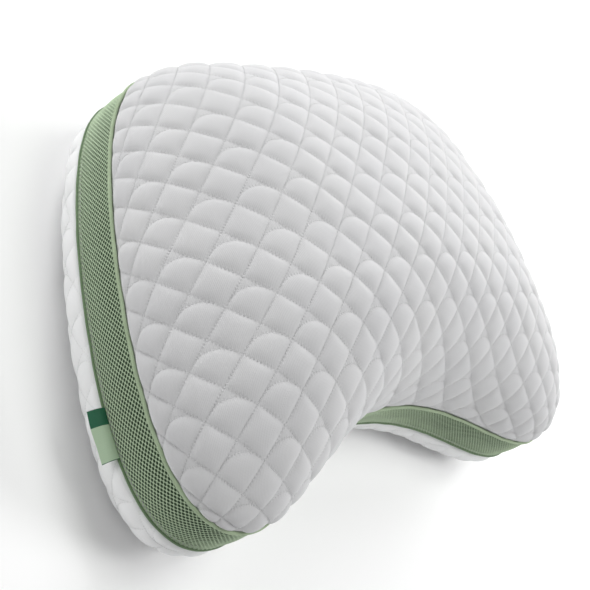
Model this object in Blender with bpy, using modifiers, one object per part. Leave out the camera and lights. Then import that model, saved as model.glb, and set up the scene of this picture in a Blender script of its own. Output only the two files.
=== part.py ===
"""Side sleeper pillow: two quilted knit panels, an air-mesh side band, piping and a label."""
import math

import bmesh
import bpy
import numpy as np
from mathutils import Vector
from mathutils.geometry import delaunay_2d_cdt

MM = 0.001

# Seam outline, seen from above: guide points of a smooth closed curve, clockwise, mm.
OUTLINE = (
    (-8.0, 202.0),  # middle of the back edge
    (98.0, 204.0),
    (208.0, 182.5),  # right back corner
    (269.5, 17.0),
    (351.0, -162.0),  # right lobe, outer side
    (238.0, -225.0),  # right lobe, tip
    (118.0, -152.0),
    (-8.5, -125.5),  # shoulder recess
    (-130.0, -144.0),
    (-249.0, -220.0),  # left lobe, tip
    (-340.0, -170.5),  # left lobe, outer side
    (-294.5, 34.0),
    (-215.0, 191.0),  # left back corner
    (-122.5, 196.5),
)
RIM_POINTS = 148
FINE_RIM_POINTS = 1480

# Heights, mm.
LOWER_SEAM = 46.0
BAND_HEIGHT = 39.6
UPPER_SEAM = LOWER_SEAM + BAND_HEIGHT
HALF_GAP = 0.15

# Crown of the top panel: height, reach in from the seam and the two roundness powers.
TOP_CROWN = (93.7, 129.5, 2.34, 2.27)
# The crown is fuller over the middle and falls away toward the ends.
DOME_CENTRE = (-7.6, 58.9)
DOME_UNIT = 253.3
DOME = (0.086, -0.464, -0.188, -0.444)
# Crown of the bottom panel, pressed flat where it rests.
LOW_CROWN = (48.5, 98.0, 2.72, 2.74)

# Quilting: square lattice of seam crossings, with diagonal channels and one arc a cell.
PITCH = 38.0
LATTICE_ORIGIN = (-226.9, 144.8)
ARC_RISE = 0.28
TOP_PUFF = 5.5
LOW_PUFF = 3.5
PUFF_REACH = 9.0
# The puffs grow from 4 mm inside the seam, and die out where the pillow rests.
PUFF_START = 4.0
PUFF_FADE = 12.0
REST_FADE = 25.0
# Share of the top puffs that sinks into the filling at a channel.
CHANNEL_SINK = 0.25
# Share of the bottom crown's reach that is pressed flat.
REST_SHARE = 0.22
# Steps of the mesh over the flat cloth, mm.
TOP_STEP = 9.0
LOW_STEP = 13.4

# The panels and the band are tucked in by 4 mm under the piping.
TUCK = 4.0
TUCK_REACH = 6.0
# Piping: radius and distance out from the seam.
UPPER_PIPING = (1.7, 1.1)
LOWER_PIPING = (1.2, 0.2)

# Label, mm along the seam and down over the lower panel.
LABEL_LENGTH = 38.0
LABEL_DROP = 15.0
LABEL_THICKNESS = 0.8
LABEL_TOP = 3.4
LABEL_OFF = 0.2
# Place of its first end, as a share of the seam's length.
LABEL_START = 0.713


def clear_scene():
    for obj in list(bpy.data.objects):
        bpy.data.objects.remove(obj, do_unlink=True)


def outline_points(count):
    """Closed uniform cubic spline over the guide points."""
    guide = np.array(OUTLINE)
    total = len(guide)
    t = np.linspace(0, total, count, endpoint=False)
    i = t.astype(int)
    u = (t - i)[:, None]
    weights = (
        (1 - u) ** 3,
        3 * u ** 3 - 6 * u ** 2 + 4,
        -3 * u ** 3 + 3 * u ** 2 + 3 * u + 1,
        u ** 3,
    )
    return sum(w * guide[(i + k - 1) % total] for k, w in enumerate(weights)) / 6


def even_outline(count):
    """Outline points at even steps along the curve, with their inward directions."""
    fine = outline_points(4000)
    closed = np.vstack([fine, fine[:1]])
    run = np.concatenate([[0], np.cumsum(np.hypot(*np.diff(closed, axis=0).T))])
    at = np.linspace(0, run[-1], count, endpoint=False)
    points = np.stack([np.interp(at, run, closed[:, k]) for k in (0, 1)], 1)
    along = np.roll(points, -1, 0) - np.roll(points, 1, 0)
    along /= np.linalg.norm(along, axis=1)[:, None]
    return points, np.stack([along[:, 1], -along[:, 0]], 1)


FINE_RIM, FINE_IN = even_outline(FINE_RIM_POINTS)


def crown_profile(crown):
    """Inset, height and length along the cloth, from the seam to the crown's reach."""
    height, reach, side, shoulder = crown
    t = np.linspace(0, 1, 500) ** 3
    inset = reach * t
    rise = height * (1 - (1 - t) ** side) ** (1 / shoulder)
    cloth = np.concatenate([[0], np.cumsum(np.hypot(np.diff(inset), np.diff(rise)))])
    return inset, rise, cloth


def dome(x, y):
    """Height factor of the top crown over the middle and toward the ends."""
    a = (x - DOME_CENTRE[0]) / DOME_UNIT
    b = (y - DOME_CENTRE[1]) / DOME_UNIT
    return 1 + DOME[0] * a + DOME[1] * (a * a - 0.4) + DOME[2] * b + DOME[3] * (b * b - 0.3)


def channel_distance(point):
    """Distance in mm from a point of the flat cloth to the nearest sewn channel."""
    u = (point[0] - LATTICE_ORIGIN[0]) / PITCH
    v = (LATTICE_ORIGIN[1] - point[1]) / PITCH
    best = 1.0
    for value in (u + v, u - v):
        best = min(best, abs(value - round(value)) / math.sqrt(2))
    for row in (math.floor(v), math.floor(v) + 1):
        x = u - math.floor(u)
        lift = row - v
        arc = 4 * ARC_RISE * x * (1 - x)
        slope = 4 * ARC_RISE * (1 - 2 * x)
        best = min(best, abs(lift - arc) / math.sqrt(1 + slope * slope))
    return best * PITCH


def puff(point):
    """Cloth stands up between the channels: 0 in a channel, 1 well inside a cell."""
    reach = min(channel_distance(point) / PUFF_REACH, 1.0)
    return math.sqrt(1 - (1 - reach) ** 2)


def cloth_to_shape(flat, crown, lift, domed):
    """Places a point of the flat cloth on the crowned panel, measured from its seam."""
    inset, rise, cloth = crown
    spare = cloth[-1] - inset[-1]
    k = int(np.argmin(((FINE_RIM - flat) ** 2).sum(1)))
    rim, inward = FINE_RIM[k], FINE_IN[k]
    along = float(np.dot(flat - rim, inward)) + spare
    if along >= cloth[-1]:
        d, z, slope = along - spare, rise[-1], 0.0
    else:
        d = float(np.interp(along, cloth, inset))
        z = float(np.interp(along, cloth, rise))
        slope = float(np.interp(along + 1, cloth, rise)) - float(np.interp(along - 1, cloth, rise))
        run = float(np.interp(along + 1, cloth, inset)) - float(np.interp(along - 1, cloth, inset))
        slope /= max(run, 1e-3)
    place = rim + inward * d if along < cloth[-1] else np.array(flat)
    tuck = TUCK * max(0.0, 1 - along / TUCK_REACH) ** 2
    place = place + inward * tuck
    if domed:
        z *= dome(place[0], place[1])
    steep = math.hypot(1, slope)
    rise_by = lift(flat, along)
    out = -inward * slope / steep * rise_by
    return place[0] + out[0], place[1] + out[1], z + rise_by / steep, along


def material(name, colour, roughness):
    made = bpy.data.materials.new(name)
    made.use_nodes = True
    shader = made.node_tree.nodes["Principled BSDF"]
    shader.inputs["Base Color"].default_value = (*colour, 1.0)
    shader.inputs["Roughness"].default_value = roughness
    return made


def add_object(name, mesh, made, collection):
    obj = bpy.data.objects.new(name, mesh)
    obj.data.materials.clear()
    obj.data.materials.append(made)
    collection.objects.link(obj)
    return obj


def quilted_panel(name, crown_sizes, step, puff_height, upward, made, collection):
    """Quilted panel over its filling: crowned face of sewn cells, closed by a flat cut."""
    crown = crown_profile(crown_sizes)
    spare = crown[2][-1] - crown[0][-1]
    rim, inward = even_outline(RIM_POINTS)
    edge = rim - inward * spare
    low, high = edge.min(0) - 20, edge.max(0) + 20
    pieces = round(math.sqrt(2) / 2 * PITCH / step)
    half = PITCH / 2 / pieces
    flat = [Vector(p) for p in edge]
    rest = crown[2][-1] - crown_sizes[1] * REST_SHARE
    for i in range(int((low[0] - high[0]) / half) - 60, int((high[0] - low[0]) / half) + 60):
        for j in range(-400, 400):
            if (i + j) % 2:
                continue
            x = LATTICE_ORIGIN[0] + i * half
            y = LATTICE_ORIGIN[1] + j * half
            if not (low[0] < x < high[0] and low[1] < y < high[1]):
                continue
            k = int(np.argmin(((FINE_RIM - (x, y)) ** 2).sum(1)))
            along = float(np.dot((x, y) - FINE_RIM[k], FINE_IN[k])) + spare
            if along < 0.45 * step:
                continue
            if not upward and along > rest + 2 * step:
                continue
            flat.append(Vector((x, y)))
    edges = [(i, (i + 1) % len(edge)) for i in range(len(edge))]
    turned = [list(reversed(range(len(edge))))]
    points, _, faces, _, _, _ = delaunay_2d_cdt(flat, edges, turned, 1, 1e-4)

    def lift(spot, along):
        fade = min(max((along - PUFF_START) / PUFF_FADE, 0.0), 1.0)
        if upward:
            return puff_height * (puff(spot) - CHANNEL_SINK) * fade
        fade *= min(max((rest - along) / REST_FADE, 0.0), 1.0)
        return puff_height * (puff(spot) - 1) * fade

    bm = bmesh.new()
    count = len(edge)
    for index, point in enumerate(points):
        spot = np.array(point)
        if index < count:
            x, y = rim[index] + inward[index] * TUCK
            z = 0.0
        else:
            x, y, z, along = cloth_to_shape(spot, crown, lift, upward)
        if upward:
            height = UPPER_SEAM + HALF_GAP + z
        else:
            height = max(LOWER_SEAM - HALF_GAP - z, 0.0)
        bm.verts.new((x * MM, y * MM, height * MM))
    bm.verts.ensure_lookup_table()
    for face in faces:
        bm.faces.new([bm.verts[k] for k in (face if upward else reversed(face))])
    cut = [bm.verts[k] for k in range(count)]
    bm.faces.new(cut if upward else list(reversed(cut)))
    bmesh.ops.recalc_face_normals(bm, faces=bm.faces)
    mesh = bpy.data.meshes.new(name)
    bm.to_mesh(mesh)
    bm.free()
    return add_object(name, mesh, made, collection)


def curve_to_mesh(name, curve, made, collection):
    """Object with the curve's own mesh, its caps joined to its sides."""
    carrier = bpy.data.objects.new(name + "_curve", curve)
    collection.objects.link(carrier)
    bpy.context.view_layer.update()
    graph = bpy.context.evaluated_depsgraph_get()
    mesh = bpy.data.meshes.new_from_object(carrier.evaluated_get(graph))
    bpy.data.objects.remove(carrier, do_unlink=True)
    bm = bmesh.new()
    bm.from_mesh(mesh)
    bmesh.ops.remove_doubles(bm, verts=bm.verts, dist=0.00005)
    bmesh.ops.recalc_face_normals(bm, faces=bm.faces)
    bm.to_mesh(mesh)
    bm.free()
    mesh.name = name
    return add_object(name, mesh, made, collection)


def closed_curve(name, points, height):
    curve = bpy.data.curves.new(name, "CURVE")
    spline = curve.splines.new("POLY")
    spline.points.add(len(points) - 1)
    for point, (x, y) in zip(spline.points, points):
        point.co = (x * MM, y * MM, height * MM, 1)
    spline.use_cyclic_u = True
    return curve


def side_band(made, collection):
    """Air-mesh band round its filling, its edges rounded over toward the seams."""
    rim, inward = even_outline(RIM_POINTS)
    curve = closed_curve("gusset_band", rim + inward * TUCK, 0.0)
    curve.dimensions = "2D"
    curve.fill_mode = "BOTH"
    curve.bevel_depth = TUCK * MM
    curve.bevel_resolution = 1
    curve.extrude = (BAND_HEIGHT / 2 - HALF_GAP - TUCK) * MM
    band = curve_to_mesh("gusset_band", curve, made, collection)
    middle = (LOWER_SEAM + BAND_HEIGHT / 2) * MM
    for vertex in band.data.vertices:
        vertex.co.z += middle
    return band


def piping(name, height, sizes, made, collection):
    """Covered cord that runs all the way round along a seam."""
    radius, out = sizes
    rim, inward = even_outline(RIM_POINTS)
    curve = closed_curve(name, rim - inward * out, height)
    curve.dimensions = "3D"
    curve.twist_mode = "Z_UP"
    curve.bevel_depth = radius * MM
    curve.bevel_resolution = 1
    return curve_to_mesh(name, curve, made, collection)


def label(made, collection):
    """Bare woven label caught in the lower seam and lying over the lower panel."""
    crown = crown_profile(LOW_CROWN)
    spacing = float(np.hypot(*(FINE_RIM[1] - FINE_RIM[0])))
    first = int(LABEL_START * len(FINE_RIM))
    columns = 8
    rows = 5
    bm = bmesh.new()
    grid = []
    for c in range(columns + 1):
        k = (first + int(round(LABEL_LENGTH * c / columns / spacing))) % len(FINE_RIM)
        column = []
        for r in range(rows + 1):
            along = LABEL_TOP + LABEL_DROP * r / rows
            d = float(np.interp(along, crown[2], crown[0]))
            z = float(np.interp(along, crown[2], crown[1]))
            x, y = FINE_RIM[k] + FINE_IN[k] * (d - LABEL_OFF)
            column.append(bm.verts.new((x * MM, y * MM, (LOWER_SEAM - z) * MM)))
        grid.append(column)
    for c in range(columns):
        for r in range(rows):
            bm.faces.new((grid[c][r], grid[c][r + 1], grid[c + 1][r + 1], grid[c + 1][r]))
    bmesh.ops.recalc_face_normals(bm, faces=bm.faces)
    mesh = bpy.data.meshes.new("label")
    bm.to_mesh(mesh)
    bm.free()
    obj = add_object("label", mesh, made, collection)
    solid = obj.modifiers.new("thickness", "SOLIDIFY")
    solid.thickness = LABEL_THICKNESS * MM
    solid.offset = 0.0
    return obj


def build():
    clear_scene()
    collection = bpy.data.collections.new("side_sleeper_pillow")
    bpy.context.scene.collection.children.link(collection)
    knit = material("white_quilted_knit", (0.80, 0.80, 0.79), 0.85)
    under_knit = material("white_under_knit", (0.76, 0.77, 0.75), 0.85)
    mesh_green = material("green_air_mesh", (0.20, 0.29, 0.18), 0.8)
    cord = material("light_green_piping", (0.36, 0.45, 0.31), 0.7)
    under_cord = material("green_under_piping", (0.33, 0.42, 0.29), 0.7)
    woven = material("woven_label", (0.50, 0.66, 0.46), 0.7)
    quilted_panel("top_panel", TOP_CROWN, TOP_STEP, TOP_PUFF, True, knit, collection)
    side_band(mesh_green, collection)
    quilted_panel("bottom_panel", LOW_CROWN, LOW_STEP, LOW_PUFF, False, under_knit, collection)
    piping("top_piping", UPPER_SEAM, UPPER_PIPING, cord, collection)
    piping("bottom_piping", LOWER_SEAM, LOWER_PIPING, under_cord, collection)
    label(woven, collection)


build()
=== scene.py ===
import math

import bmesh
import bpy
import numpy as np
from mathutils import Matrix, Vector, kdtree


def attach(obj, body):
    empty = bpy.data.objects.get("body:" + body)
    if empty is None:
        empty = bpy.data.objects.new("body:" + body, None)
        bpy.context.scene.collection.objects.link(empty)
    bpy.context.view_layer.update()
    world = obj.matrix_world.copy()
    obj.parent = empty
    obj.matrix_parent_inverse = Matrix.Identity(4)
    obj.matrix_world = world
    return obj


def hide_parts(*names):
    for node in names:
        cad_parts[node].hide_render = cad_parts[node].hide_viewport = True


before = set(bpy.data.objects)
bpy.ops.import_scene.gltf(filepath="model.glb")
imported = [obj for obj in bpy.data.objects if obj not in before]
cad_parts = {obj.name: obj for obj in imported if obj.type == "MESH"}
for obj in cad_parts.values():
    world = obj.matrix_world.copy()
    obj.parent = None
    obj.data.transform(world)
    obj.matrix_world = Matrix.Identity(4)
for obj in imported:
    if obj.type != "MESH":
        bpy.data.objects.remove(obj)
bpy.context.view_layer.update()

MM = 0.001

# Seam outline seen from above, guide points of a smooth closed curve, clockwise, mm.
OUTLINE = (
    (-8.0, 202.0),
    (98.0, 204.0),
    (208.0, 182.5),
    (269.5, 17.0),
    (351.0, -162.0),
    (238.0, -225.0),
    (118.0, -152.0),
    (-8.5, -125.5),
    (-130.0, -144.0),
    (-249.0, -220.0),
    (-340.0, -170.5),
    (-294.5, 34.0),
    (-215.0, 191.0),
    (-122.5, 196.5),
)

# Heights of the two seams, mm.
LOWER_SEAM = 46.0
UPPER_SEAM = 85.6

# Dome of the top crown: centre and unit of length, mm, then slope and curvature along x and y.
DOME_CENTRE = (-7.6, 58.9)
DOME_UNIT = 253.3
DOME = (0.086, -0.464, -0.188, -0.444)

# Panels, mm. Crown: height, reach in from the seam and two roundness powers. Step: side of the
# grid's squares, a whole share of the pitch. Tuck: how far the cloth goes in under the piping.
# The puffs start inside the seam and reach full height over a run.
TOP_PANEL = {
    "crown": (93.7, 129.5, 2.34, 2.27),
    "step": 2.0,
    "tuck": 1.6,
    "puff": 3.0,
    "puff_start": 0.3,
    "puff_run": 8.0,
}
LOW_PANEL = {
    "crown": (48.5, 98.0, 2.72, 2.74),
    "step": 2.375,
    "tuck": 4.0,
    "puff": 2.0,
    "puff_start": 1.5,
    "puff_run": 9.0,
}
# Distance from the seam over which the tuck ends, and gap between a panel's edge and its seam.
TUCK_RUN = 6.0
SEAM_GAP = 0.15
# The lower crown is flat at this height, and its puffs rest on the floor.
REST_HEIGHT = 2.2

# Quilting: crossings every 38 mm, diagonals between them and one arc a cell.
PITCH = 38.0
LATTICE_ORIGIN = (-226.9, 144.8)
ARC_RISE = 0.28
# Length of an arc in pitches, and the span of lattice cells that covers both panels.
ARC_LENGTH = 1.19
LATTICE_SPAN = ((-6, -6), (16, 14))
# Unevenness: wander of the lines in mm, share by which puffs vary, lumps of the filling in mm.
LINE_WANDER = 1.3
PUFF_VARIETY = 0.14
LUMP_RISE = 1.0

# Knit drawn out on the lobe by the label: how far at the seam, where, and its spread, mm.
STRETCH = 32.0
STRETCH_PLACE = (-300.0, -180.0)
STRETCH_FADE = 170.0

# Sewing: one stitch every 2.6 mm, its length, width and height, how far it lies above the cloth,
# and how far from the seam the stitches start.
STITCH_PITCH = 2.6
STITCH_SIZE = (2.1, 0.5, 0.4)
STITCH_RISE = 0.12
STITCH_START = 9.0

# Band: holes 4.5 mm apart along it, in staggered rows 1.62 mm apart, and their two radii.
HOLE_PITCH = 4.5
ROW_PITCH = 1.62
HOLE_RADII = (1.42, 1.05)
# Heights of the strands' tops and feet above the mesh's own surface, and of the mesh and the
# inner layer above the band's surface.
STRAND_TOP = 0.2
STRAND_FOOT = -0.25
MESH_LIFT = 0.35
INNER_LIFT = -1.3
# The band's edges start inside the seams and turn in under the piping. Its middle swells out
# and ripples.
BAND_GAP = 0.2
BAND_TURN = 2.2
BAND_SWELL = 1.3
BAND_RIPPLE = 0.5

# Piping: radius and distance out from the seam, wander, and share by which its radius varies.
UPPER_PIPING = (1.65, 1.0)
LOWER_PIPING = (1.2, 0.4)
PIPING_WANDER = 0.25
PIPING_VARIETY = 0.05

# Label: length along the seam, width away from it, thickness, and place as a share of the seam.
LABEL_LENGTH = 39.5
LABEL_WIDTH = 13.8
LABEL_THICKNESS = 0.7
LABEL_START = 0.713
# Where its root lies: out from the piping's middle and above the seam's height.
LABEL_ROOT = (0.6, 1.75)
# Its dark end, and the dark turned-in edge at its other end.
LABEL_DARK = 13.0
LABEL_EDGE = 0.5
# Lower puffs pressed down under it: half the length, width, run over which they recover, and
# share of their height that is left.
LABEL_PRESS = (20.0, 14.0, 10.0, 0.12)


# Seam outline and crowns


def even_outline(count):
    """Seam outline at even steps, with the inward direction at each."""
    guide = np.array(OUTLINE)
    t = np.linspace(0, len(guide), 6000, endpoint=False)
    i = t.astype(int)
    u = (t - i)[:, None]
    weights = (
        (1 - u) ** 3,
        3 * u ** 3 - 6 * u ** 2 + 4,
        -3 * u ** 3 + 3 * u ** 2 + 3 * u + 1,
        u ** 3,
    )
    fine = sum(w * guide[(i + k - 1) % len(guide)] for k, w in enumerate(weights)) / 6
    closed = np.vstack([fine, fine[:1]])
    run = np.concatenate([[0], np.cumsum(np.hypot(*np.diff(closed, axis=0).T))])
    at = np.linspace(0, run[-1], count, endpoint=False)
    points = np.stack([np.interp(at, run, closed[:, k]) for k in (0, 1)], 1)
    along = np.roll(points, -1, 0) - np.roll(points, 1, 0)
    along /= np.linalg.norm(along, axis=1)[:, None]
    return points, np.stack([along[:, 1], -along[:, 0]], 1), run[-1]


RIM, INWARD, SEAM_LENGTH = even_outline(3600)
RIM_STEP = SEAM_LENGTH / len(RIM)
LABEL_FIRST = LABEL_START * SEAM_LENGTH
LABEL_MIDDLE = LABEL_FIRST + LABEL_LENGTH / 2


def rim_tree():
    """Search tree of the seam points."""
    tree = kdtree.KDTree(len(RIM))
    for k, (x, y) in enumerate(RIM):
        tree.insert((x, y, 0), k)
    tree.balance()
    return tree


RIM_TREE = rim_tree()


def nearest_seam(flat):
    """For points of the flat cloth: nearest seam point, inward direction and depth inside it."""
    index = np.array([RIM_TREE.find((x, y, 0))[1] for x, y in flat])
    inward = INWARD[index]
    along = np.stack([-inward[:, 1], inward[:, 0]], 1)
    step = ((flat - RIM[index]) * along).sum(1)
    seam = RIM[index] + along * step[:, None]
    turn = (INWARD[(index + 1) % len(RIM)] - INWARD[index - 1]) / (2 * RIM_STEP)
    inward = inward + turn * step[:, None]
    inward /= np.linalg.norm(inward, axis=1)[:, None]
    return seam, inward, ((flat - seam) * inward).sum(1)


def nearest_run(flat):
    """Distance along the seam of the seam point nearest to each point of the flat cloth."""
    return np.array([RIM_TREE.find((x, y, 0))[1] for x, y in flat]) * RIM_STEP


def crown_profile(crown):
    """Profile of a crown from the seam inwards: inset, rise, and length of cloth up to there."""
    height, reach, side, shoulder = crown
    t = np.linspace(0, 1, 900) ** 3
    inset = reach * t
    rise = height * (1 - (1 - t) ** side) ** (1 / shoulder)
    cloth = np.concatenate([[0], np.cumsum(np.hypot(np.diff(inset), np.diff(rise)))])
    return inset, rise, cloth


def dome(x, y):
    """Height of the crown at a place, as a share of its plain height."""
    a = (x - DOME_CENTRE[0]) / DOME_UNIT
    b = (y - DOME_CENTRE[1]) / DOME_UNIT
    return 1 + DOME[0] * a + DOME[1] * (a * a - 0.4) + DOME[2] * b + DOME[3] * (b * b - 0.3)


def soft_noise(x, y, size, seed):
    """Smooth unevenness from crossed waves of about one size in mm, mostly within 1."""
    rng = np.random.default_rng(seed)
    total = np.zeros_like(x)
    for angle, shift, stretch in zip(
        rng.uniform(0, math.pi, 7), rng.uniform(0, 2 * math.pi, 7), rng.uniform(0.7, 1.5, 7)
    ):
        wave = (x * math.cos(angle) + y * math.sin(angle)) / (size * stretch)
        total += np.sin(2 * math.pi * wave + shift)
    return total / 4.5


# Quilted cells


def cell_relief():
    """One repeat of the quilting, as cloth blown up between its sewn lines, 0 to 1."""
    count = 76
    # Half the width of a sewn line, in pitches, and power below one that makes the puffs fuller.
    half_line = 0.62 / count
    fullness = 0.64
    axis = (np.arange(count) + 0.5) / count
    u, v = np.meshgrid(axis, axis, indexing="ij")
    sewn = np.zeros((count, count), bool)
    for value in (u + v, u - v):
        sewn |= np.abs(value - np.round(value)) / math.sqrt(2) < half_line
    arc = 4 * ARC_RISE * u * (1 - u)
    slope = 4 * ARC_RISE * (1 - 2 * u)
    sewn |= np.abs(1 - v - arc) / np.sqrt(1 + slope ** 2) < half_line
    swell = np.zeros((count, count))
    for _ in range(900):
        beside = (np.roll(swell, s, a) for s, a in ((1, 0), (-1, 0), (1, 1), (-1, 1)))
        swell = 0.25 * sum(beside) + 1
        swell[sewn] = 0
    return (swell / swell.max()) ** fullness


def sample_repeat(tile, u, v):
    """Reads the repeating relief at lattice coordinates."""
    count = len(tile)
    x = u * count - 0.5
    y = v * count - 0.5
    i = np.floor(x).astype(int)
    j = np.floor(y).astype(int)
    a = x - i
    b = y - j
    i0, i1, j0, j1 = i % count, (i + 1) % count, j % count, (j + 1) % count
    near = tile[i0, j0] * (1 - a) + tile[i1, j0] * a
    far = tile[i0, j1] * (1 - a) + tile[i1, j1] * a
    return near * (1 - b) + far * b


CELL = cell_relief()


class QuiltedCloth:
    """Flat quilted cloth laid over a crown: a square grid of points, and where each one goes."""

    def __init__(self, panel, upward):
        self.step = step = panel["step"]
        self.upward = upward
        inset, rise, cloth = crown_profile(panel["crown"])
        spare = cloth[-1] - inset[-1]
        low = RIM.min(0) - spare - 3 * step
        high = RIM.max(0) + spare + 3 * step
        self.first = np.floor((low - LATTICE_ORIGIN) / step).astype(int)
        last = np.ceil((high - LATTICE_ORIGIN) / step).astype(int)
        i = np.arange(self.first[0], last[0] + 1)
        j = np.arange(self.first[1], last[1] + 1)
        gx, gy = np.meshgrid(
            LATTICE_ORIGIN[0] + i * step, LATTICE_ORIGIN[1] + j * step, indexing="ij"
        )
        self.shape = gx.shape
        x, y = gx.ravel(), gy.ravel()
        flat = np.stack([x, y], 1)
        # No hand guides the cloth perfectly straight under the needles.
        wander = np.stack([soft_noise(x, y, 150, 3), soft_noise(x, y, 150, 4)], 1)
        laid = flat + LINE_WANDER * wander
        seam, inward, depth = nearest_seam(laid)
        along = depth + spare
        if upward:
            # The knit is drawn out towards the seam on the lobe by the label.
            far = np.hypot(seam[:, 0] - STRETCH_PLACE[0], seam[:, 1] - STRETCH_PLACE[1])
            drawn = STRETCH * np.exp(-((far / STRETCH_FADE) ** 2))
            along = along - drawn * np.maximum(1 - along / cloth[-1], 0) ** 3
        self.inside = (along > 0).reshape(self.shape)
        s = np.clip(along, 0, cloth[-1])
        d = np.interp(s, cloth, inset)
        z = np.interp(s, cloth, rise)
        # A hair is added to each step of the profile, so that none is zero.
        apart = cloth + np.arange(len(cloth)) * 1e-9
        run = np.interp(s, cloth, np.gradient(inset, apart))
        climb = np.interp(s, cloth, np.gradient(rise, apart))
        middle = along >= cloth[-1]
        place = np.where(middle[:, None], laid, seam + inward * d[:, None])
        run[middle] = 1
        climb[middle] = 0
        length = np.hypot(run, climb)
        run, climb = run / length, climb / length
        tuck = panel["tuck"] * np.clip(1 - s / TUCK_RUN, 0, 1) ** 2
        place = place + inward * tuck[:, None]
        if upward:
            z = z * dome(place[:, 0], place[:, 1])
        z = self.even_out(z.reshape(self.shape), along.reshape(self.shape)).ravel()
        # Lumps of the filling fade out over the last 60 mm to the seam.
        lumps = soft_noise(x, y, 120, 5) * np.clip(s / 60, 0, 1)
        cell = sample_repeat(CELL, (x - LATTICE_ORIGIN[0]) / PITCH, (LATTICE_ORIGIN[1] - y) / PITCH)
        fuller = 1 + PUFF_VARIETY * soft_noise(x, y, 70, 6)
        grown = np.clip((s - panel["puff_start"]) / panel["puff_run"], 0, 1)
        swell = panel["puff"] * cell * fuller * grown
        if not upward:
            half, wide, recover, left = LABEL_PRESS
            off = np.maximum(np.abs(nearest_run(laid) - LABEL_MIDDLE) - half, 0)
            off = off + np.maximum(s - wide, 0)
            swell = swell * (left + (1 - left) * np.clip(off / recover, 0, 1))
        swell = swell + LUMP_RISE * lumps
        normal = np.stack([-inward[:, 0] * climb, -inward[:, 1] * climb, run], 1)
        if upward:
            height = UPPER_SEAM + SEAM_GAP + z
        else:
            height = LOWER_SEAM - SEAM_GAP - np.minimum(z, LOWER_SEAM - SEAM_GAP - REST_HEIGHT)
            normal[:, 2] *= -1
        points = np.stack([place[:, 0], place[:, 1], height], 1) + normal * swell[:, None]
        points[:, 2] = np.maximum(points[:, 2], 0.0)
        self.points = points.reshape(*self.shape, 3)
        self.normals = normal.reshape(*self.shape, 3)
        self.depth = along.reshape(self.shape)
        self.flat = flat.reshape(*self.shape, 2)

    def even_out(self, z, along):
        """Rounds off the ridge where the crowns from two sides of the outline meet.

        The rounding grows from 55 mm to 95 mm inside the seam.
        """
        share = np.clip((along - 55) / 40, 0, 1)
        soft = z.copy()
        for _ in range(160):
            mean = 0.25 * (
                np.roll(soft, 1, 0)
                + np.roll(soft, -1, 0)
                + np.roll(soft, 1, 1)
                + np.roll(soft, -1, 1)
            )
            soft = soft + share * (mean - soft)
        return soft

    def read(self, field, flat):
        """Value of a grid field at points of the flat cloth."""
        x = (flat[:, 0] - LATTICE_ORIGIN[0]) / self.step - self.first[0]
        y = (flat[:, 1] - LATTICE_ORIGIN[1]) / self.step - self.first[1]
        i = np.clip(np.floor(x).astype(int), 0, self.shape[0] - 2)
        j = np.clip(np.floor(y).astype(int), 0, self.shape[1] - 2)
        a = (x - i).reshape(-1, *([1] * (field.ndim - 2)))
        b = (y - j).reshape(-1, *([1] * (field.ndim - 2)))
        near = field[i, j] * (1 - a) + field[i + 1, j] * a
        far = field[i, j + 1] * (1 - a) + field[i + 1, j + 1] * a
        return near * (1 - b) + far * b

    def mesh(self, name):
        """The grid's faces that lie inside the seam, or partly so."""
        inside = self.inside
        some = inside[:-1, :-1] | inside[1:, :-1] | inside[:-1, 1:] | inside[1:, 1:]
        i, j = np.nonzero(some)
        number = np.arange(inside.size).reshape(inside.shape)
        quads = np.stack(
            [number[i, j], number[i + 1, j], number[i + 1, j + 1], number[i, j + 1]], 1
        )
        if not self.upward:
            quads = quads[:, ::-1]
        used, quads = np.unique(quads, return_inverse=True)
        quads = quads.reshape(-1, 4)
        points = self.points.reshape(-1, 3)[used] * MM
        flat = self.flat.reshape(-1, 2)[used]
        cloth = np.stack([flat[:, 0] - LATTICE_ORIGIN[0], LATTICE_ORIGIN[1] - flat[:, 1]], 1) * MM
        return grid_object(name, points, quads, cloth)


def grid_object(name, points, quads, cloth):
    """Smooth-shaded mesh with its cloth coordinates in metres as the UV map."""
    mesh = bpy.data.meshes.new(name)
    mesh.from_pydata(points.tolist(), [], quads.tolist())
    layer = mesh.uv_layers.new(name="cloth")
    corners = np.empty(len(mesh.loops), int)
    mesh.loops.foreach_get("vertex_index", corners)
    layer.data.foreach_set("uv", cloth[corners].astype(np.float32).ravel())
    mesh.polygons.foreach_set("use_smooth", [True] * len(mesh.polygons))
    mesh.update()
    made = bpy.data.objects.new(name, mesh)
    bpy.context.scene.collection.objects.link(made)
    return made


# Nodes and colours


def colour(code):
    """Hex colour as on screen, turned into the linear values that the shader takes."""
    parts = [int(code[k:k + 2], 16) / 255 for k in (1, 3, 5)]
    linear = [p / 12.92 if p <= 0.04045 else ((p + 0.055) / 1.055) ** 2.4 for p in parts]
    return (*linear, 1.0)


def node(tree, kind, settings=None, inputs=None):
    """Adds a node with its settings, and feeds its sockets with values or other nodes' outputs."""
    made = tree.nodes.new(kind)
    for name, value in (settings or {}).items():
        setattr(made, name, value)
    for socket, value in (inputs or {}).items():
        if isinstance(value, bpy.types.NodeSocket):
            tree.links.new(value, made.inputs[socket])
        else:
            made.inputs[socket].default_value = value
    return made


def new_material(name):
    """Material with a bare Principled shader, its tree and the shader."""
    made = bpy.data.materials.new(name)
    made.use_nodes = True
    tree = made.node_tree
    shader = tree.nodes["Principled BSDF"]
    return made, tree, shader


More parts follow.
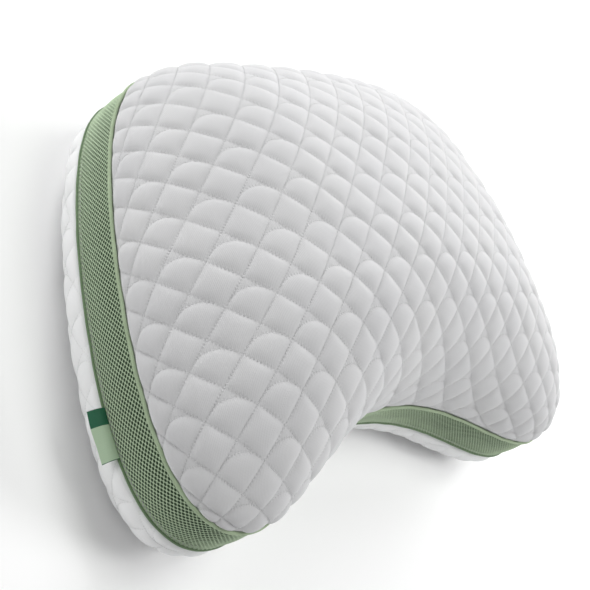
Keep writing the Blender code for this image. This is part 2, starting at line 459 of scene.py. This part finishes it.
def band_waves(tree, cloth, turn, wavelength):
    """Ripple across the cloth: sine of the distance in one direction, wavelength in mm."""
    size = 2 * math.pi / (wavelength * MM)
    turned = node(
        tree,
        "ShaderNodeMapping",
        {"vector_type": "POINT"},
        {"Vector": cloth, "Rotation": (0, 0, turn), "Scale": (size, size, size)},
    )
    split = node(tree, "ShaderNodeSeparateXYZ", None, {0: turned.outputs[0]})
    return node(tree, "ShaderNodeMath", {"operation": "SINE"}, {0: split.outputs[0]}).outputs[0]


def seam_pucker(tree, across, along, uneven, spacing):
    """Gathers, needle holes and turned-down cloth beside one family of sewn lines.

    across counts sewn lines and along runs with them, both in repeats of the given spacing in mm.
    """
    off = node(tree, "ShaderNodeMath", {"operation": "PINGPONG"}, {0: across, 1: 0.5})
    # Gathers fade out 2.8 mm from the thread.
    near = node(
        tree,
        "ShaderNodeMapRange",
        {"interpolation_type": "SMOOTHERSTEP"},
        {"Value": off.outputs[0], "From Max": 2.8 / spacing, "To Min": 1.0, "To Max": 0.0},
    )
    # One gather a stitch, shifted unevenly along the line.
    turns = 2 * math.pi * spacing / STITCH_PITCH
    phase = node(
        tree, "ShaderNodeMath", {"operation": "MULTIPLY_ADD"}, {0: along, 1: turns, 2: uneven}
    )
    wave = node(tree, "ShaderNodeMath", {"operation": "SINE"}, {0: phase.outputs[0]})
    gather = node(
        tree, "ShaderNodeMath", {"operation": "MULTIPLY"}, {0: wave.outputs[0], 1: near.outputs[0]}
    )
    # Needle holes, where shade is painted in the knit colour: one a stitch, up to 0.6 mm from the
    # line and a third of a stitch long.
    close = node(
        tree, "ShaderNodeMath", {"operation": "LESS_THAN"}, {0: off.outputs[0], 1: 0.6 / spacing}
    )
    count = node(
        tree, "ShaderNodeMath", {"operation": "MULTIPLY"}, {0: along, 1: spacing / STITCH_PITCH}
    )
    part = node(tree, "ShaderNodeMath", {"operation": "PINGPONG"}, {0: count.outputs[0], 1: 0.5})
    small = node(tree, "ShaderNodeMath", {"operation": "LESS_THAN"}, {0: part.outputs[0], 1: 0.16})
    pierced = {0: close.outputs[0], 1: small.outputs[0]}
    hole = node(tree, "ShaderNodeMath", {"operation": "MULTIPLY"}, pierced)
    # The cloth turns down sharply into the seam over its last 1.6 mm.
    rim = node(
        tree,
        "ShaderNodeMapRange",
        {"interpolation_type": "SMOOTHSTEP"},
        {"Value": off.outputs[0], "From Max": 1.6 / spacing},
    )
    return gather.outputs[0], hole.outputs[0], rim.outputs[0]


def quilted_knit(name, tint, shade):
    """Brushed polyester knit with a fine diamond figure, gathered beside every sewn line.

    The figure and the gathers give the eye a soft matt cloth, where plain white would look like
    a smooth shell.
    """
    made, tree, shader = new_material(name)
    cloth = node(tree, "ShaderNodeUVMap", {"uv_map": "cloth"}).outputs[0]
    split = node(tree, "ShaderNodeSeparateXYZ", None, {0: cloth})
    u = node(tree, "ShaderNodeMath", {"operation": "DIVIDE"}, {0: split.outputs[0], 1: PITCH * MM})
    v = node(tree, "ShaderNodeMath", {"operation": "DIVIDE"}, {0: split.outputs[1], 1: PITCH * MM})
    total = node(tree, "ShaderNodeMath", {"operation": "ADD"}, {0: u.outputs[0], 1: v.outputs[0]})
    difference = node(
        tree, "ShaderNodeMath", {"operation": "SUBTRACT"}, {0: u.outputs[0], 1: v.outputs[0]}
    )
    # Unevenness of the gathers, about 9 mm across.
    patches = node(
        tree, "ShaderNodeTexNoise", None, {"Vector": cloth, "Scale": 110.0, "Detail": 2.0}
    )
    uneven = node(
        tree, "ShaderNodeMath", {"operation": "MULTIPLY"}, {0: patches.outputs[0], 1: 9.0}
    ).outputs[0]
    # A diagonal line family repeats every pitch over the root of two.
    spacing = PITCH / math.sqrt(2)
    plus, minus = total.outputs[0], difference.outputs[0]
    first, first_hole, first_rim = seam_pucker(tree, plus, minus, uneven, spacing)
    second, second_hole, second_rim = seam_pucker(tree, minus, plus, uneven, spacing)
    # Arcs: four times the rise times x times one minus x, above each row of crossings.
    x = node(tree, "ShaderNodeMath", {"operation": "FRACT"}, {0: u.outputs[0]})
    rest = node(tree, "ShaderNodeMath", {"operation": "SUBTRACT"}, {0: 1.0, 1: x.outputs[0]})
    bow = node(
        tree, "ShaderNodeMath", {"operation": "MULTIPLY"}, {0: x.outputs[0], 1: rest.outputs[0]}
    )
    across = node(
        tree,
        "ShaderNodeMath",
        {"operation": "MULTIPLY_ADD"},
        {0: bow.outputs[0], 1: 4 * ARC_RISE, 2: v.outputs[0]},
    )
    third, third_hole, third_rim = seam_pucker(tree, across.outputs[0], u.outputs[0], uneven, PITCH)
    gathers = node(tree, "ShaderNodeMath", {"operation": "ADD"}, {0: first, 1: second})
    gathers = node(tree, "ShaderNodeMath", {"operation": "ADD"}, {0: gathers.outputs[0], 1: third})
    holes = node(tree, "ShaderNodeMath", {"operation": "MAXIMUM"}, {0: first_hole, 1: second_hole})
    holes = node(
        tree, "ShaderNodeMath", {"operation": "MAXIMUM"}, {0: holes.outputs[0], 1: third_hole}
    )
    rims = node(tree, "ShaderNodeMath", {"operation": "MULTIPLY"}, {0: first_rim, 1: second_rim})
    rims = node(
        tree, "ShaderNodeMath", {"operation": "MULTIPLY"}, {0: rims.outputs[0], 1: third_rim}
    )
    # Diamond figure of the knit, repeating every 1.2 mm one way and 0.95 mm the other.
    left = band_waves(tree, cloth, math.radians(52), 1.5)
    right = band_waves(tree, cloth, math.radians(-52), 1.5)
    figure = node(tree, "ShaderNodeMath", {"operation": "MULTIPLY"}, {0: left, 1: right})
    # Single loops of yarn, 0.5 mm.
    loops = node(
        tree, "ShaderNodeTexNoise", None, {"Vector": cloth, "Scale": 1900.0, "Detail": 1.0}
    )
    # Slow unevenness of tone, hand sized.
    tone = node(tree, "ShaderNodeTexNoise", None, {"Vector": cloth, "Scale": 14.0, "Detail": 3.0})
    base = node(
        tree,
        "ShaderNodeMix",
        {"data_type": "RGBA"},
        {"Factor": tone.outputs[0], 6: colour(tint), 7: colour(shade)},
    )
    figured = node(
        tree,
        "ShaderNodeMapRange",
        None,
        {"Value": figure.outputs[0], "From Min": -1.0, "To Max": 0.1},
    )
    low = node(
        tree,
        "ShaderNodeMix",
        {"data_type": "RGBA", "blend_type": "MULTIPLY"},
        {"Factor": figured.outputs[0], 6: base.outputs[2], 7: colour("#9a9c98")},
    )
    # Painted shade in the needle holes: they are darkened a tenth of the way towards a grey.
    dark = node(tree, "ShaderNodeMath", {"operation": "MULTIPLY"}, {0: holes.outputs[0], 1: 0.1})
    pierced = node(
        tree,
        "ShaderNodeMix",
        {"data_type": "RGBA", "blend_type": "MULTIPLY"},
        {"Factor": dark.outputs[0], 6: low.outputs[2], 7: colour("#7c7e7b")},
    )
    # Relief, each over the one before: strength, height in mm and pattern.
    normal = {}
    for strength, relief_mm, pattern in (
        (0.6, 0.2, rims),
        (0.45, 0.17, gathers),
        (0.45, 0.13, figure),
        (0.3, 0.055, loops),
    ):
        given = {"Strength": strength, "Distance": relief_mm * MM, "Height": pattern.outputs[0]}
        normal = {"Normal": node(tree, "ShaderNodeBump", None, {**given, **normal}).outputs[0]}
    tree.links.new(pierced.outputs[2], shader.inputs["Base Color"])
    tree.links.new(normal["Normal"], shader.inputs["Normal"])
    shader.inputs["Roughness"].default_value = 0.88
    shader.inputs["Specular IOR Level"].default_value = 0.25
    shader.inputs["Sheen Weight"].default_value = 0.22
    shader.inputs["Sheen Roughness"].default_value = 0.45
    return made


def knitted_yarn(name, tint, shade, weave_mm, relief_mm):
    """Filament yarn cloth, its ribs at the given spacing: a dull gleam broken up by fine ribs."""
    made, tree, shader = new_material(name)
    cloth = node(tree, "ShaderNodeUVMap", {"uv_map": "cloth"}).outputs[0]
    left = band_waves(tree, cloth, math.radians(38), weave_mm)
    right = band_waves(tree, cloth, math.radians(-52), weave_mm)
    ribs = node(tree, "ShaderNodeMath", {"operation": "ADD"}, {0: left, 1: right})
    # Tone wanders over about 2 cm.
    tone = node(tree, "ShaderNodeTexNoise", None, {"Vector": cloth, "Scale": 45.0, "Detail": 3.0})
    base = node(
        tree,
        "ShaderNodeMix",
        {"data_type": "RGBA"},
        {"Factor": tone.outputs[0], 6: colour(tint), 7: colour(shade)},
    )
    # Painted shade in the grooves between the ribs: up to 0.3 of the way towards the darker tone.
    share = node(
        tree,
        "ShaderNodeMapRange",
        None,
        {"Value": ribs.outputs[0], "From Min": -2.0, "From Max": 2.0, "To Min": 0.3, "To Max": 0.0},
    )
    rib_groove_shaded = node(
        tree,
        "ShaderNodeMix",
        {"data_type": "RGBA", "blend_type": "MULTIPLY"},
        {"Factor": share.outputs[0], 6: base.outputs[2], 7: colour(shade)},
    )
    raised = node(
        tree,
        "ShaderNodeBump",
        None,
        {"Strength": 0.6, "Distance": relief_mm * MM, "Height": ribs.outputs[0]},
    )
    tree.links.new(rib_groove_shaded.outputs[2], shader.inputs["Base Color"])
    tree.links.new(raised.outputs[0], shader.inputs["Normal"])
    shader.inputs["Roughness"].default_value = 0.72
    shader.inputs["Specular IOR Level"].default_value = 0.3
    shader.inputs["Sheen Weight"].default_value = 0.15
    return made


def woven_label_satin():
    """Damask label satin, pale green with a dark green end. Fine ribs give it a dull gleam."""
    made, tree, shader = new_material("woven_label_satin")
    cloth = node(tree, "ShaderNodeUVMap", {"uv_map": "cloth"}).outputs[0]
    split = node(tree, "ShaderNodeSeparateXYZ", None, {0: cloth})
    along = split.outputs[0]
    pale = (LABEL_LENGTH - LABEL_DARK) * MM
    end = node(tree, "ShaderNodeMath", {"operation": "GREATER_THAN"}, {0: along, 1: pale})
    edge = node(tree, "ShaderNodeMath", {"operation": "LESS_THAN"}, {0: along, 1: LABEL_EDGE * MM})
    both = node(
        tree, "ShaderNodeMath", {"operation": "MAXIMUM"}, {0: end.outputs[0], 1: edge.outputs[0]}
    )
    # Ribs 0.45 mm apart one way, threads 0.6 mm apart the other.
    ribs = band_waves(tree, cloth, math.radians(90), 0.45)
    threads = band_waves(tree, cloth, 0.0, 0.6)
    weave = node(tree, "ShaderNodeMath", {"operation": "ADD"}, {0: ribs, 1: threads})
    ground = node(
        tree,
        "ShaderNodeMix",
        {"data_type": "RGBA"},
        {"Factor": both.outputs[0], 6: colour("#b9d1b2"), 7: colour("#0d6040")},
    )
    share = node(
        tree,
        "ShaderNodeMapRange",
        None,
        {
            "Value": weave.outputs[0],
            "From Min": -2.0,
            "From Max": 2.0,
            "To Min": 0.22,
            "To Max": 0.0,
        },
    )
    shaded = node(
        tree,
        "ShaderNodeMix",
        {"data_type": "RGBA", "blend_type": "MULTIPLY"},
        {"Factor": share.outputs[0], 6: ground.outputs[2], 7: colour("#5f6f5c")},
    )
    raised = node(
        tree,
        "ShaderNodeBump",
        None,
        {"Strength": 0.5, "Distance": 0.1 * MM, "Height": weave.outputs[0]},
    )
    tree.links.new(shaded.outputs[2], shader.inputs["Base Color"])
    tree.links.new(raised.outputs[0], shader.inputs["Normal"])
    shader.inputs["Roughness"].default_value = 0.5
    shader.inputs["Specular IOR Level"].default_value = 0.4
    return made


def sewing_thread(name, tint, shade):
    """Polyester thread: slightly glossier than the cloth, so each stitch catches the light."""
    made, tree, shader = new_material(name)
    place = node(tree, "ShaderNodeTexCoord").outputs["Object"]
    # Plies of the thread, 0.4 mm.
    plies = node(
        tree, "ShaderNodeTexNoise", None, {"Vector": place, "Scale": 2500.0, "Detail": 1.0}
    )
    base = node(
        tree,
        "ShaderNodeMix",
        {"data_type": "RGBA"},
        {"Factor": plies.outputs[0], 6: colour(tint), 7: colour(shade)},
    )
    tree.links.new(base.outputs[2], shader.inputs["Base Color"])
    shader.inputs["Roughness"].default_value = 0.5
    return made


def put_on(obj, material):
    """Gives a piece its one material."""
    obj.data.materials.clear()
    obj.data.materials.append(material)
    return obj


def plain_mesh(obj, modifier):
    """Gives an object the plain mesh that its modifier makes, and removes the modifier."""
    bpy.context.view_layer.update()
    graph = bpy.context.evaluated_depsgraph_get()
    result = bpy.data.meshes.new_from_object(obj.evaluated_get(graph))
    obj.modifiers.remove(modifier)
    obj.data = result
    result.name = obj.name


# Repeats: stitches and mesh holes


def repeat_tree(name, material, own_shape):
    """Sets one small shape at every point, its axes along the point's own directions."""
    tree = bpy.data.node_groups.new(name, "GeometryNodeTree")
    face = tree.interface
    face.new_socket(name="Geometry", in_out="INPUT", socket_type="NodeSocketGeometry")
    for size in ("Length", "Width", "Height", "Weld"):
        face.new_socket(name=size, in_out="INPUT", socket_type="NodeSocketFloat")
    face.new_socket(name="Shape", in_out="INPUT", socket_type="NodeSocketObject")
    face.new_socket(name="Geometry", in_out="OUTPUT", socket_type="NodeSocketGeometry")
    given = node(tree, "NodeGroupInput")
    if own_shape:
        shape = node(
            tree,
            "GeometryNodeObjectInfo",
            {"transform_space": "ORIGINAL"},
            {"Object": given.outputs["Shape"]},
        ).outputs["Geometry"]
    else:
        # An eight-sided bead, one across before it takes its sizes.
        shape = node(
            tree, "GeometryNodeMeshUVSphere", None, {"Segments": 4, "Rings": 2, "Radius": 0.5}
        ).outputs["Mesh"]
    scale = node(
        tree,
        "ShaderNodeCombineXYZ",
        None,
        {0: given.outputs["Width"], 1: given.outputs["Height"], 2: given.outputs["Length"]},
    )
    lengthwise, upright = (
        node(
            tree, "GeometryNodeInputNamedAttribute", {"data_type": "FLOAT_VECTOR"}, {"Name": way}
        ).outputs["Attribute"]
        for way in ("lengthwise", "upright")
    )
    turn = node(
        tree,
        "FunctionNodeAxesToRotation",
        {"primary_axis": "Z", "secondary_axis": "Y"},
        {0: lengthwise, 1: upright},
    )
    copies = node(
        tree,
        "GeometryNodeInstanceOnPoints",
        None,
        {
            "Points": given.outputs["Geometry"],
            "Instance": shape,
            "Rotation": turn.outputs[0],
            "Scale": scale.outputs[0],
        },
    )
    real = node(
        tree, "GeometryNodeRealizeInstances", None, {"Geometry": copies.outputs["Instances"]}
    )
    welded = node(
        tree,
        "GeometryNodeMergeByDistance",
        None,
        {"Geometry": real.outputs["Geometry"], "Distance": given.outputs["Weld"]},
    )
    painted = node(
        tree,
        "GeometryNodeSetMaterial",
        None,
        {"Geometry": welded.outputs["Geometry"], "Material": material},
    )
    node(tree, "NodeGroupOutput", None, {"Geometry": painted.outputs["Geometry"]})
    return tree


def repeat_along(name, points, lengthwise, upright, sizes, material, shape=None):
    """Plain mesh of one small shape repeated at the points, sizes in mm."""
    mesh = bpy.data.meshes.new(name)
    mesh.from_pydata((points * MM).tolist(), [], [])
    for attribute, values in (("lengthwise", lengthwise), ("upright", upright)):
        layer = mesh.attributes.new(attribute, "FLOAT_VECTOR", "POINT")
        layer.data.foreach_set("vector", values.astype(np.float32).ravel())
    carrier = bpy.data.objects.new(name, mesh)
    bpy.context.scene.collection.objects.link(carrier)
    tree = repeat_tree(name, material, shape is not None)
    modifier = carrier.modifiers.new("repeat", "NODES")
    modifier.node_group = tree
    for item in tree.interface.items_tree:
        if item.in_out == "INPUT" and item.name in sizes:
            modifier[item.identifier] = sizes[item.name] * MM
        if item.in_out == "INPUT" and item.name == "Shape" and shape is not None:
            modifier[item.identifier] = shape
    plain_mesh(carrier, modifier)
    carrier.data.polygons.foreach_set("use_smooth", [True] * len(carrier.data.polygons))
    return carrier


def sewn_lines():
    """Middle points and directions of the stitches on the flat cloth, for the span of cells."""
    low, high = LATTICE_SPAN
    places, directions = [], []
    for i in range(low[0], high[0]):
        for j in range(low[1], high[1]):
            for slant in (1, -1):
                start = np.array([i + (0 if slant > 0 else 1), j], float)
                way = np.array([slant, 1.0]) / math.sqrt(2)
                length = PITCH * math.sqrt(2)
                count = round(length / STITCH_PITCH)
                at = (np.arange(count) + 0.5) / count * length / PITCH
                places.append(start + at[:, None] * way)
                directions.append(np.repeat(way[None], count, 0))
            count = round(PITCH * ARC_LENGTH / STITCH_PITCH)
            x = (np.arange(count) + 0.5) / count
            places.append(np.stack([i + x, j + 1 - 4 * ARC_RISE * x * (1 - x)], 1))
            slope = np.stack([np.ones(count), -4 * ARC_RISE * (1 - 2 * x)], 1)
            directions.append(slope / np.linalg.norm(slope, axis=1)[:, None])
    lattice = np.concatenate(places) * PITCH
    flat = np.stack([LATTICE_ORIGIN[0] + lattice[:, 0], LATTICE_ORIGIN[1] - lattice[:, 1]], 1)
    return flat, np.concatenate(directions) * [1, -1]


def stitches(name, cloth, material, lowest):
    """Thread lying in the channels of one quilted panel, above the lowest height given in mm."""
    flat, way = sewn_lines()
    kept = cloth.read(cloth.depth, flat) > STITCH_START
    flat, way = flat[kept], way[kept]
    long, wide, high = STITCH_SIZE
    # Its place is read 0.9 mm to either side, a little short of the stitch's ends.
    half = 0.9
    start = cloth.read(cloth.points, flat - way * half)
    end = cloth.read(cloth.points, flat + way * half)
    normal = cloth.read(cloth.normals, flat)
    middle = (start + end) / 2 + normal * STITCH_RISE
    seen = middle[:, 2] > lowest
    sizes = {"Length": long, "Width": wide, "Height": high, "Weld": 0.001}
    return repeat_along(name, middle[seen], (end - start)[seen], normal[seen], sizes, material)


# Side band


def band_section(across):
    """Outward offset and height at a distance across the band, tucked in at both seams, mm."""
    z0 = LOWER_SEAM + BAND_GAP
    z1 = UPPER_SEAM - BAND_GAP
    quarter = math.pi / 2 * BAND_TURN
    straight = (z1 - z0) - 2 * BAND_TURN
    total = straight + 2 * quarter
    a = np.clip(across / quarter, 0, 1) * math.pi / 2
    b = np.clip((total - across) / quarter, 0, 1) * math.pi / 2
    rise = np.clip(across - quarter, 0, straight)
    out = -BAND_TURN * (2 - np.sin(a) - np.sin(b))
    z = z0 + BAND_TURN * (1 - np.cos(a)) + rise + BAND_TURN * np.cos(b)
    swell = BAND_SWELL * np.sin(np.pi * across / total) ** 2
    return out + swell, z, total


BAND_WIDTH = float(band_section(np.zeros(1))[2])


def band_points(run, across, lift):
    """Points and outward directions on the band at a distance along and across it."""
    k = run / RIM_STEP
    i = np.floor(k).astype(int)
    f = (k - i)[:, None]
    i = i % len(RIM)
    rim = RIM[i] * (1 - f) + RIM[(i + 1) % len(RIM)] * f
    inward = INWARD[i] * (1 - f) + INWARD[(i + 1) % len(RIM)] * f
    inward /= np.linalg.norm(inward, axis=1)[:, None]
    out, z, _ = band_section(across)
    # The slope comes from the section 0.2 mm to either side.
    out1, z1, _ = band_section(across - 0.2)
    out2, z2, _ = band_section(across + 0.2)
    fade = np.sin(np.pi * across / BAND_WIDTH)
    ripple = BAND_RIPPLE * soft_noise(run, across * 0.6, 60, 8) * fade
    climb = np.stack([out2 - out1, z2 - z1], 1)
    climb /= np.linalg.norm(climb, axis=1)[:, None]
    normal = np.concatenate([-inward * climb[:, 1:2], -climb[:, 0:1]], 1)
    middle = np.concatenate([rim - inward * (out + ripple)[:, None], z[:, None]], 1)
    along = np.stack([-inward[:, 1], inward[:, 0], np.zeros(len(run))], 1)
    return middle + normal * lift, normal, along


def mesh_cell():
    """One cell of the air mesh: eight strand faces round an oval hole, sloping down into it."""
    corners = ((1, 0), (0, 1), (-1, 0), (0, -1))
    ring, hole = [], []
    for k, (x, y) in enumerate(corners):
        next_x, next_y = corners[(k + 1) % 4]
        for part in (0.0, 0.5):
            ring_x = (x + part * (next_x - x)) * HOLE_PITCH / 2
            ring.append((ring_x, (y + part * (next_y - y)) * ROW_PITCH))
        for turn in (k, k + 0.5):
            angle = turn * math.pi / 2
            hole.append((HOLE_RADII[0] * math.cos(angle), HOLE_RADII[1] * math.sin(angle)))
    points = [(y, STRAND_TOP, x) for x, y in ring] + [(y, STRAND_FOOT, x) for x, y in hole]
    faces = [(k, (k + 1) % 8, 8 + (k + 1) % 8, 8 + k) for k in range(8)]
    mesh = bpy.data.meshes.new("mesh_cell")
    mesh.from_pydata(points, [], faces)
    made = bpy.data.objects.new("mesh_cell", mesh)
    bpy.context.scene.collection.objects.link(made)
    return made


def air_mesh(material):
    """Perforated face of the spacer mesh all round the side band."""
    rows = int(BAND_WIDTH / ROW_PITCH)
    columns = round(SEAM_LENGTH / HOLE_PITCH)
    run, across = [], []
    for r in range(rows + 1):
        shift = 0.5 * (r % 2)
        run.append((np.arange(columns) + shift) * SEAM_LENGTH / columns)
        across.append(np.full(columns, r * BAND_WIDTH / rows))
    run = np.concatenate(run)
    across = np.concatenate(across)
    points, normal, along = band_points(run, across, MESH_LIFT)
    cell = mesh_cell()
    sizes = {"Length": 1.0, "Width": 1.0, "Height": 1.0, "Weld": 0.3}
    made = repeat_along("gusset_air_mesh", points, along, normal, sizes, material, cell)
    bpy.data.objects.remove(cell, do_unlink=True)
    return made


def band_sheet(name, lift, steps_along, steps_across):
    """Closed sheet round the band, under the open mesh."""
    run = np.arange(steps_along) / steps_along * SEAM_LENGTH
    across = np.linspace(0, BAND_WIDTH, steps_across + 1)
    grid_run, grid_across = np.meshgrid(run, across, indexing="ij")
    points, _, _ = band_points(grid_run.ravel(), grid_across.ravel(), lift)
    number = np.arange(len(points)).reshape(steps_along, steps_across + 1)
    after = np.roll(number, -1, 0)
    quads = np.stack(
        [number[:, :-1], number[:, 1:], after[:, 1:], after[:, :-1]], -1
    ).reshape(-1, 4)
    cloth = np.stack([grid_run.ravel(), grid_across.ravel()], 1) * MM
    return grid_object(name, points * MM, quads[:, ::-1], cloth)


# Piping and label


def piping(name, height, sizes, seed):
    """Cloth-covered cord along a seam, a little uneven where it is eased round the corners."""
    radius, out = sizes
    steps = 900
    sides = 12
    run = np.arange(steps) / steps * SEAM_LENGTH
    k = (run / RIM_STEP).astype(int)
    rim, inward = RIM[k], INWARD[k]
    rise = PIPING_WANDER * soft_noise(run, run * 0, 34, seed)
    shove = PIPING_WANDER * soft_noise(run, run * 0, 27, seed + 1)
    swell = 1 + PIPING_VARIETY * soft_noise(run, run * 0, 18, seed + 2)
    points = []
    for side in range(sides):
        angle = 2 * math.pi * side / sides
        reach = out + shove + radius * swell * math.cos(angle)
        z = height + rise + radius * swell * math.sin(angle)
        points.append(np.concatenate([rim - inward * reach[:, None], z[:, None]], 1))
    points = np.stack(points, 1)
    number = np.arange(steps * sides).reshape(steps, sides)
    after = np.roll(number, -1, 0)
    beside = np.roll(number, -1, 1)
    both = np.roll(after, -1, 1)
    quads = np.stack([number, after, both, beside], -1).reshape(-1, 4)
    girth = np.arange(sides) / sides * 2 * math.pi * radius
    cloth = np.stack([np.repeat(run, sides), np.tile(girth, steps)], 1) * MM
    return grid_object(name, points.reshape(-1, 3) * MM, quads, cloth)


def label_cloth():
    """Bare woven label caught above the lower piping, bent over it and standing off the panel."""
    columns, rows = 60, 30
    lean = math.radians(78)
    bend = math.radians(52)
    step = LABEL_WIDTH / rows
    points, flat = [], []
    for c in range(columns + 1):
        share = c / columns
        k = int(round((LABEL_FIRST + LABEL_LENGTH * share) / RIM_STEP)) % len(RIM)
        out, z = LOWER_PIPING[1] + LABEL_ROOT[0], LOWER_SEAM + LABEL_ROOT[1]
        for r in range(rows + 1):
            wave = 0.3 * math.sin(9 * share + 2 * r / rows)
            x, y = RIM[k] - INWARD[k] * (out + wave * r / rows)
            points.append((x * MM, y * MM, z * MM))
            flat.append((LABEL_LENGTH * share * MM, step * r * MM))
            # Steepness below the horizontal grows from the seam to the free edge.
            fall = math.pi / 2 - lean + bend * min(r / rows * 1.6, 1.0) * (1 - 0.15 * share)
            out += step * math.cos(fall)
            z -= step * math.sin(fall)
    number = np.arange(len(points)).reshape(columns + 1, rows + 1)
    quads = np.stack(
        [number[:-1, :-1], number[1:, :-1], number[1:, 1:], number[:-1, 1:]], -1
    ).reshape(-1, 4)
    made = grid_object("label_woven", np.array(points), quads, np.array(flat))
    solid = made.modifiers.new("thickness", "SOLIDIFY")
    solid.thickness = LABEL_THICKNESS * MM
    solid.offset = 0
    plain_mesh(made, solid)
    return made


# Pieces


white_knit = quilted_knit("white_quilted_knit", "#d3d3d3", "#ccccce")
# The under panel is the same white knit as the top, painted brighter to stand in for light bounced
# up from the floor.
under_knit = quilted_knit("white_under_knit", "#f4f4f5", "#eceded")
mesh_yarn = knitted_yarn("green_mesh_yarn", "#c6d8bb", "#b1c5a5", 0.5, 0.08)
# The inner layer under the mesh is real, but its dark green is painted shade that falls inside the
# mesh and shows through the holes.
mesh_shade_layer = knitted_yarn("green_mesh_inner_layer", "#4a6144", "#3b5239", 1.1, 0.2)
piping_cloth = knitted_yarn("light_green_piping_cloth", "#b9cbab", "#a9bc9a", 0.55, 0.1)
# The lower piping is the same light green cloth as the upper one, painted darker as the shade that
# it lies in.
shade_painted_piping_cloth = knitted_yarn("green_under_piping_cloth", "#7b9570", "#6a8560", 0.55, 0.1)
label_satin = woven_label_satin()
thread = sewing_thread("white_sewing_thread", "#e4e5e5", "#d6d7d7")

top_cloth = QuiltedCloth(TOP_PANEL, True)
low_cloth = QuiltedCloth(LOW_PANEL, False)

top_panel = put_on(top_cloth.mesh("top_quilted_panel"), white_knit)
bottom_panel = put_on(low_cloth.mesh("bottom_quilted_panel"), under_knit)
top_stitches = stitches("top_quilting_stitches", top_cloth, thread, 0)
bottom_stitches = stitches("bottom_quilting_stitches", low_cloth, thread, 0.6)
gusset_face = air_mesh(mesh_yarn)
gusset_inner = put_on(band_sheet("gusset_inner_layer", INNER_LIFT, 450, 12), mesh_shade_layer)
upper_piping = put_on(piping("upper_seam_piping", UPPER_SEAM, UPPER_PIPING, 11), piping_cloth)
lower_piping = put_on(piping("lower_seam_piping", LOWER_SEAM, LOWER_PIPING, 21), shade_painted_piping_cloth)
label = put_on(label_cloth(), label_satin)

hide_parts("top_panel")
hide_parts("bottom_panel")
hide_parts("gusset_band")
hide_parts("top_piping")
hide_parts("bottom_piping")
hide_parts("label")

for piece, finish in (
    (top_panel, "quilted_knit"),
    (top_stitches, "quilted_knit"),
    (bottom_panel, "under_knit"),
    (bottom_stitches, "under_knit"),
    (gusset_face, "air_mesh"),
    (gusset_inner, "air_mesh"),
    (upper_piping, "piping"),
    (lower_piping, "under_piping"),
    (label, "woven_label"),
):
    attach(piece, "root")


# Floor, light and camera


def studio_floor():
    """Flat floor of matt pale paper under the pillow."""
    bm = bmesh.new()
    bmesh.ops.create_grid(bm, x_segments=2, y_segments=2, size=6.0)
    mesh = bpy.data.meshes.new("studio_floor")
    bm.to_mesh(mesh)
    bm.free()
    made = bpy.data.objects.new("studio_floor", mesh)
    bpy.context.scene.collection.objects.link(made)
    material, _, shader = new_material("pale_studio_paper")
    shader.inputs["Base Color"].default_value = colour("#fbfbfb")
    shader.inputs["Roughness"].default_value = 0.9
    return put_on(made, material)


def soft_light(name, place, target, size, power):
    """Round lamp that faces its target."""
    light = bpy.data.lights.new(name, "AREA")
    light.shape = "DISK"
    light.size = size
    light.energy = power
    made = bpy.data.objects.new(name, light)
    made.location = place
    made.rotation_euler = (Vector(target) - Vector(place)).to_track_quat("-Z", "Y").to_euler()
    bpy.context.scene.collection.objects.link(made)


studio_floor()

world = bpy.data.worlds.new("studio")
world.use_nodes = True
background = world.node_tree.nodes["Background"]
background.inputs["Color"].default_value = (1, 1, 1, 1)
background.inputs["Strength"].default_value = 0.33
bpy.context.scene.world = world
bpy.context.scene.view_settings.view_transform = "Standard"

# Lamps: place and target in m, diameter in m, power in W.
soft_light("back", (0.3, 2.2, 1.1), (0, 0, 0.1), 1.0, 34)
soft_light("far_end", (2.2, 0.2, 0.9), (0, 0, 0.1), 1.0, 22)
soft_light("overhead", (0.2, 0, 2.5), (0, 0, 0.1), 1.2, 20)
soft_light("camera_side", (-2.1, 1.2, 0.3), (0, 0, 0.08), 1.0, 15)
soft_light("front", (1.5, -1.2, 1.8), (0, 0, 0.1), 1.0, 23)

# Camera found from the photo: place in m, directions, focal length in pixels of its frame.
CAMERA_PLACE = (-0.9698, -0.2441, 0.6445)
CAMERA_RIGHT = (0.55899, -0.37215, 0.74096)
CAMERA_AHEAD = (0.82837, 0.21130, -0.51880)
FOCAL_PIXELS = 1217.6
FRAME_PIXELS = 590

camera = bpy.data.cameras.new("photo_view")
camera.sensor_width = 36
camera.lens = 36 * FOCAL_PIXELS / FRAME_PIXELS
camera.clip_start = 0.01
viewer = bpy.data.objects.new("photo_view", camera)
right = Vector(CAMERA_RIGHT).normalized()
ahead = Vector(CAMERA_AHEAD).normalized()
up = right.cross(ahead).normalized()
right = ahead.cross(up)
turn = Matrix((right, up, -ahead)).transposed().to_4x4()
viewer.matrix_world = Matrix.Translation(CAMERA_PLACE) @ turn
bpy.context.scene.collection.objects.link(viewer)
bpy.context.scene.camera = viewer
